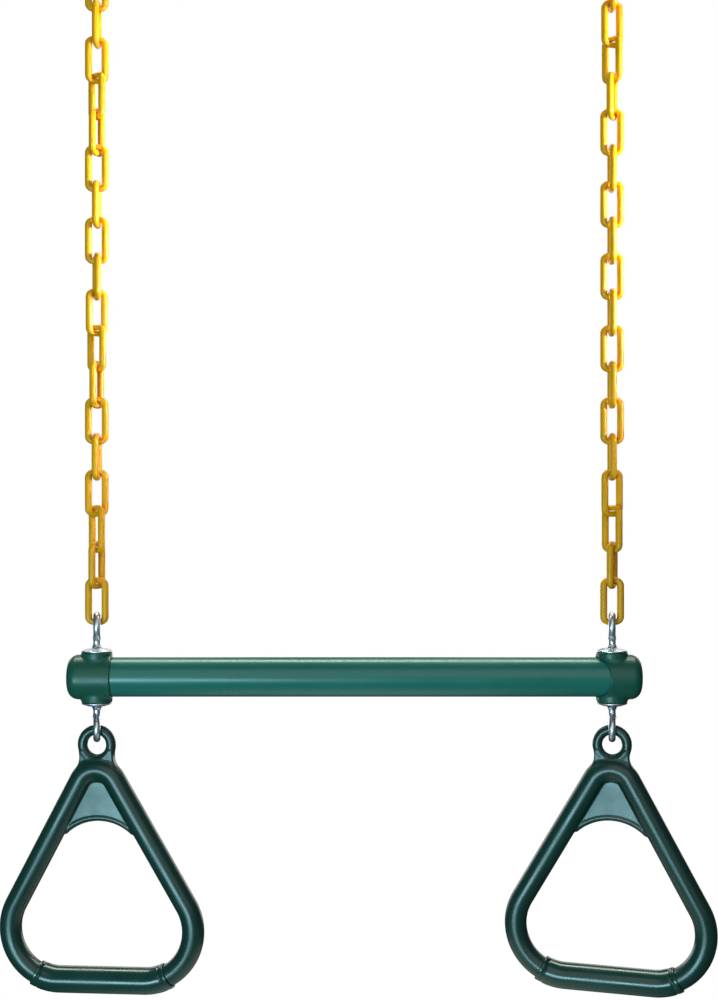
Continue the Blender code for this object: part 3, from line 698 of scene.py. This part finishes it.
def build_bar():
    bar_z = middle("bar_tube").z
    piece("painted_tube", tube_mesh(), TUBE_PAINT, "bar", "bar_tube", (0, 0, bar_z))
    cap = surface("cap", cap_field, (-16, -22, -25), (28, 22, 25), CELL["cap"])
    rod = surface("eye_rod", eye_rod_field, (-7, -15, -61), (7, 15, 61), CELL["eye_rod"])
    washer = washer_mesh()
    for side, sign in SIDES.items():
        at = (sign * EYE_X, 0, bar_z)
        turn = (0, 0, 0 if side == "right" else 180)
        piece(f"moulded_cap_{side}", cap, CAP_PLASTIC, "bar", f"end_cap_{side}",
              at, turn)
        piece(f"plated_eye_rod_{side}", rod, EYE_ZINC, "bar", f"eye_rod_{side}",
              at, (0, 0, EYE_TURN[side]))
        for level, up in (("upper", 1), ("lower", -1)):
            node = f"washer_{level}_{side}"
            seat = (sign * EYE_X, 0, bar_z + up * (BOSS_HEIGHT + CAP_PLAY))
            piece(f"plated_{node}", washer, EYE_ZINC, "bar", node, seat,
                  (0 if up > 0 else 180, 0, 0))


def build_rings():
    ring = surface("ring", ring_field, (-96, -13, -222), (96, 13, 20), CELL["ring"])
    grip = grip_mesh()
    for side, sign in SIDES.items():
        joint = next(j for j in frame["joints"] if j["name"] == f"ring_{side}_hinge")
        hole_z = joint["pos_m"][2] / MM - LUG_RADIUS
        at, turn = (sign * EYE_X, 0, hole_z), (0, RING_LEAN[side], RING_YAW[side])
        piece(f"moulded_ring_{side}", ring, RING_PLASTIC, f"ring_{side}", f"ring_frame_{side}",
              at, turn)
        piece(f"moulded_grip_{side}", grip, GRIP_PLASTIC, f"ring_{side}", f"ring_grip_{side}",
              at, turn)


# Stage, lights and camera

def area_light(name, place, aim, size, power, colour=(1, 1, 1), spread=180):
    """Adds a soft rectangular light, aimed at a point and hidden from the camera."""
    light = bpy.data.lights.new(name, "AREA")
    light.shape = "RECTANGLE"
    light.size, light.size_y = size
    light.energy = power
    light.spread = math.radians(spread)
    light.color = colour
    obj = bpy.data.objects.new(name, light)
    obj.location = place
    obj.rotation_euler = (Vector(aim) - Vector(place)).to_track_quat("-Z", "Y").to_euler()
    obj.visible_camera = False
    bpy.context.scene.collection.objects.link(obj)


def build_floor():
    """A pale round floor below the rings, which fades out to the white around it."""
    sides = 96
    turns = [2 * math.pi * k / sides for k in range(sides)]
    rim = [(*on_circle((0, 0), FLOOR_RADIUS, turn), FLOOR_LEVEL) for turn in turns]
    mesh = bpy.data.meshes.new("floor")
    mesh.from_pydata(rim, [], [list(range(sides))])
    floor = bpy.data.objects.new("floor", mesh)
    bpy.context.scene.collection.objects.link(floor)
    made = bpy.data.materials.new("floor")
    made.use_nodes = True
    nodes, wires = made.node_tree.nodes, made.node_tree.links
    shader, out = nodes["Principled BSDF"], nodes["Material Output"]
    shader.inputs["Base Color"].default_value = (0.8, 0.8, 0.8, 1)
    shader.inputs["Roughness"].default_value = 0.8
    where = nodes.new("ShaderNodeTexCoord")
    distance = nodes.new("ShaderNodeVectorMath")
    distance.operation = "LENGTH"
    wires.new(where.outputs["Object"], distance.inputs[0])
    fade = nodes.new("ShaderNodeMapRange")
    fade.interpolation_type = "SMOOTHSTEP"
    fade.inputs["From Min"].default_value = math.hypot(FLOOR_LEVEL, 0.05)
    fade.inputs["From Max"].default_value = math.hypot(FLOOR_LEVEL, 0.9 * FLOOR_RADIUS)
    wires.new(distance.outputs["Value"], fade.inputs["Value"])
    clear = nodes.new("ShaderNodeBsdfTransparent")
    mix = nodes.new("ShaderNodeMixShader")
    wires.new(fade.outputs["Result"], mix.inputs["Fac"])
    wires.new(shader.outputs["BSDF"], mix.inputs[1])
    wires.new(clear.outputs["BSDF"], mix.inputs[2])
    wires.new(mix.outputs["Shader"], out.inputs["Surface"])
    mesh.materials.append(made)


def build_world():
    """White behind the object, and only a dim fill from all round on it."""
    world = bpy.data.worlds.new("studio")
    bpy.context.scene.world = world
    world.use_nodes = True
    nodes, wires = world.node_tree.nodes, world.node_tree.links
    background = nodes["Background"]
    background.inputs["Color"].default_value = (1, 1, 1, 1)
    dim = nodes.new("ShaderNodeBackground")
    dim.inputs["Color"].default_value = (0.95, 0.98, 1.0, 1)
    dim.inputs["Strength"].default_value = FILL_STRENGTH
    rays = nodes.new("ShaderNodeLightPath")
    mix = nodes.new("ShaderNodeMixShader")
    wires.new(rays.outputs["Is Camera Ray"], mix.inputs["Fac"])
    wires.new(dim.outputs["Background"], mix.inputs[1])
    wires.new(background.outputs["Background"], mix.inputs[2])
    wires.new(mix.outputs["Shader"], nodes["World Output"].inputs["Surface"])


def build_lights():
    aim = (0, 0, BAR_LEVEL)
    area_light("overhead", (0.0, 0.60, 0.70), aim, (2.0, 0.30), 34.0, (0.94, 1.0, 0.86))
    area_light("right_strip", (1.1, -0.50, -0.22), (0.06, 0, -0.24), (0.4, 0.2), 2.3,
               spread=30)
    area_light("left_soft", (-0.78, -1.85, -1.12), aim, (1.10, 0.42), 30.0,
               (0.46, 0.86, 0.96))
    area_light("front_high", (0.3, -2.2, 0.55), (0, 0, -0.40), (2.6, 2.2), 18.0,
               (0.97, 0.98, 0.90))
    area_light("back_left", (-1.1, 2.1, -0.4), aim, (1.7, 1.6), 30.0)
    area_light("back_right", (1.1, 2.1, -0.4), aim, (1.7, 1.6), 30.0)


def build_camera():
    camera = bpy.data.cameras.new("camera")
    camera.lens = CAMERA_LENS
    camera.sensor_width = 36.0
    camera.sensor_fit = "AUTO"
    obj = bpy.data.objects.new("camera", camera)
    obj.location = CAMERA_PLACE
    obj.rotation_euler = (math.pi / 2, 0, 0)
    bpy.context.scene.collection.objects.link(obj)
    bpy.context.scene.camera = obj


build_chains()
build_hooks()
build_bar()
build_rings()
build_floor()
build_world()
build_lights()
build_camera()
bpy.context.scene.view_settings.view_transform = "Standard"
bpy.context.view_layer.update()
